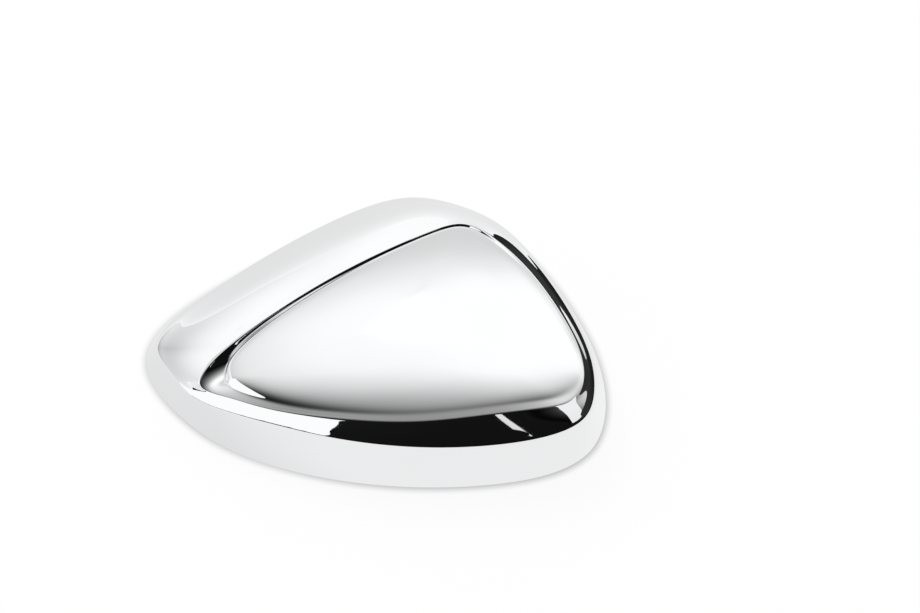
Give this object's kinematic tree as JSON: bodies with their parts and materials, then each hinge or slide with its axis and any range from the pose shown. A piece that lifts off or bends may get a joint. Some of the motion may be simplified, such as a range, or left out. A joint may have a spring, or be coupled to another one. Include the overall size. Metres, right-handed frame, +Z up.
{
  "type": "wing mirror cover",
  "caption": "Chrome-plated outer shell that clips over the back of a car's wing mirror housing, with a recessed domed face and a raised frame around it.",
  "frame": {"origin": "centre of the cover's length and width, on the plane of its flat rim", "axes": "+Z up from the rim towards the outside of the cover, +X along its length from the pointed end to the round end, +Y across it towards the side with the broad sloping band"},
  "size_m": [0.215, 0.149, 0.0589],
  "materials": {
    "chrome_plate": "bright chrome plate on moulded ABS, polished"
  },
  "bodies": {
    "root": {"cover_shell": "chrome_plate"}
  },
  "joints": []
}
